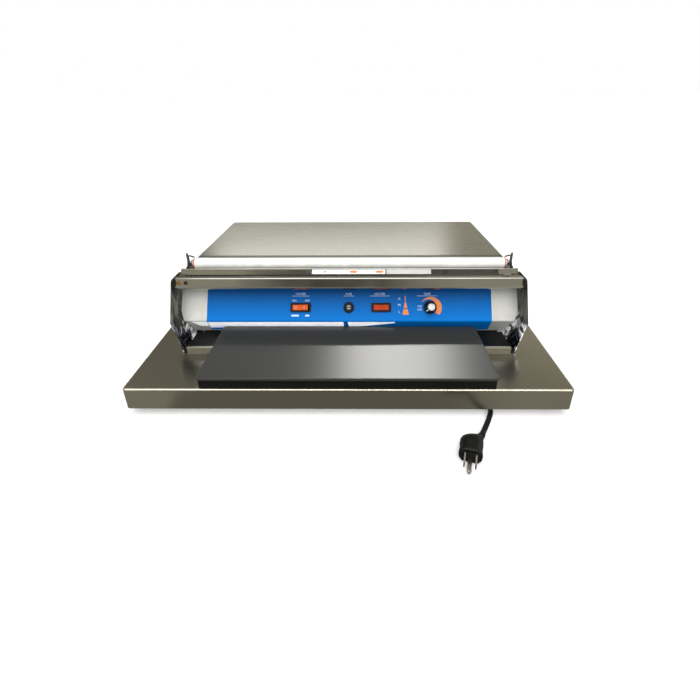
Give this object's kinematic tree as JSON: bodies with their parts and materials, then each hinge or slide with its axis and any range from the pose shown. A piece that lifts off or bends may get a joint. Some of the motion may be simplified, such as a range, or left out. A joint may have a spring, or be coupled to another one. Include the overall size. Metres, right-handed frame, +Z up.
{
  "type": "tabletop stretch film wrapper",
  "caption": "Tabletop stretch-film tray wrapper: steel base, coated hot plate in front, sloping control panel, hot-wire cutting bar, film guide roller and hinged table over the film bay.",
  "frame": {"origin": "centre of the machine's base on the surface it stands on", "axes": "+X to the right along the machine's width, +Y from the hot plate to the rear, +Z up"},
  "size_m": [0.58, 0.6923, 0.166],
  "materials": {
    "mirror_steel": "polished stainless sheet",
    "satin_steel": "satin stainless sheet and rod",
    "panel_grey": "light grey satin paint",
    "overlay_blue": "semi-gloss printed film",
    "black_coating": "non-stick coating, satin",
    "white_plastic": "satin",
    "black_plastic": "satin moulded",
    "black_paint": "matte",
    "red_plastic": "clear red moulded",
    "orange_plastic": "translucent orange moulded",
    "rubber": "matte",
    "brass": "bright",
    "silver": "turned",
    "silicone_mat": "matte",
    "insulation": "matte board",
    "copper": "varnished winding",
    "core_steel": "laminated",
    "fuse_glass": "clear"
  },
  "bodies": {
    "root": {"base_deck": "mirror_steel", "left_side_plate": "mirror_steel", "right_side_plate": "mirror_steel", "front_rail": "mirror_steel", "rear_wall": "mirror_steel", "base_floor": "satin_steel", "partition_wall": "satin_steel", "front_bar": "satin_steel", "cutter_channel": "satin_steel", "cutter_wire": "satin_steel", "cutter_spring": "satin_steel", "cutter_strip": "satin_steel", "guide_roller_axle": "satin_steel", "roller_bracket_left": "satin_steel", "roller_bracket_right": "satin_steel", "table_pivot_left": "satin_steel", "table_pivot_right": "satin_steel", "cradle_bracket_left": "satin_steel", "cradle_bracket_right": "satin_steel", "control_panel": "panel_grey", "panel_overlay": "overlay_blue", "hot_plate_cover": "black_coating", "cutter_insulator_left": "white_plastic", "cutter_insulator_right": "white_plastic", "caution_label": "white_plastic", "terminal_block": "white_plastic", "rocker_housing": "black_plastic", "lamp_housing": "black_plastic", "fuse_holder": "black_plastic", "bar_end_plug": "black_plastic", "hot_plate_tray": "black_paint", "lamp_lens": "red_plastic", "foot_front_left": "rubber", "foot_front_right": "rubber", "foot_rear_left": "rubber", "foot_rear_right": "rubber", "strain_relief": "rubber", "power_cord": "rubber", "power_cord_lead": "rubber", "power_cord_coil": "rubber", "plug_body": "rubber", "bar_terminal_screw": "brass", "plug_pins": "brass", "heater_mat": "silicone_mat", "insulation_board": "insulation", "thermostat_body": "insulation", "transformer_coil": "copper", "transformer_core": "core_steel"},
    "table": {"table_top": "satin_steel"},
    "guide_roller": {"guide_roller": "white_plastic", "roller_ring_left": "red_plastic", "roller_ring_right": "red_plastic"},
    "cradle_front": {"cradle_roller_front": "satin_steel"},
    "cradle_rear": {"cradle_roller_rear": "satin_steel"},
    "rocker": {"rocker_button": "orange_plastic"},
    "thermostat_knob": {"knob": "black_plastic", "knob_cap": "silver", "thermostat_shaft": "satin_steel"},
    "fuse_carrier": {"fuse_cap": "black_plastic", "fuse_link": "fuse_glass"}
  },
  "joints": [
    {"name": "table_hinge", "type": "hinge", "parent": "root", "child": "table", "pos_m": [0, 0.205, 0.118], "axis": [-1, 0, 0], "range_deg": [0, 95]},
    {"name": "guide_roller_spin", "type": "hinge", "parent": "root", "child": "guide_roller", "pos_m": [0, -0.058, 0.147], "axis": [1, 0, 0], "continuous": true},
    {"name": "cradle_front_spin", "type": "hinge", "parent": "root", "child": "cradle_front", "pos_m": [0, 0.045, 0.03], "axis": [1, 0, 0], "continuous": true},
    {"name": "cradle_rear_spin", "type": "hinge", "parent": "root", "child": "cradle_rear", "pos_m": [0, 0.125, 0.03], "axis": [1, 0, 0], "continuous": true},
    {"name": "rocker_tilt", "type": "hinge", "parent": "root", "child": "rocker", "pos_m": [-0.073, -0.10103, 0.09124], "axis": [0, 0.5085, 0.8611], "range_deg": [0, 20]},
    {"name": "knob_turn", "type": "hinge", "parent": "root", "child": "thermostat_knob", "pos_m": [0.123, -0.10103, 0.09124], "axis": [0, 0.8611, -0.5085], "range_deg": [0, 270]},
    {"name": "fuse_cap_turn", "type": "hinge", "parent": "root", "child": "fuse_carrier", "pos_m": [0, -0.10103, 0.09124], "axis": [0, -0.8611, 0.5085], "range_deg": [0, 90]}
  ]
}
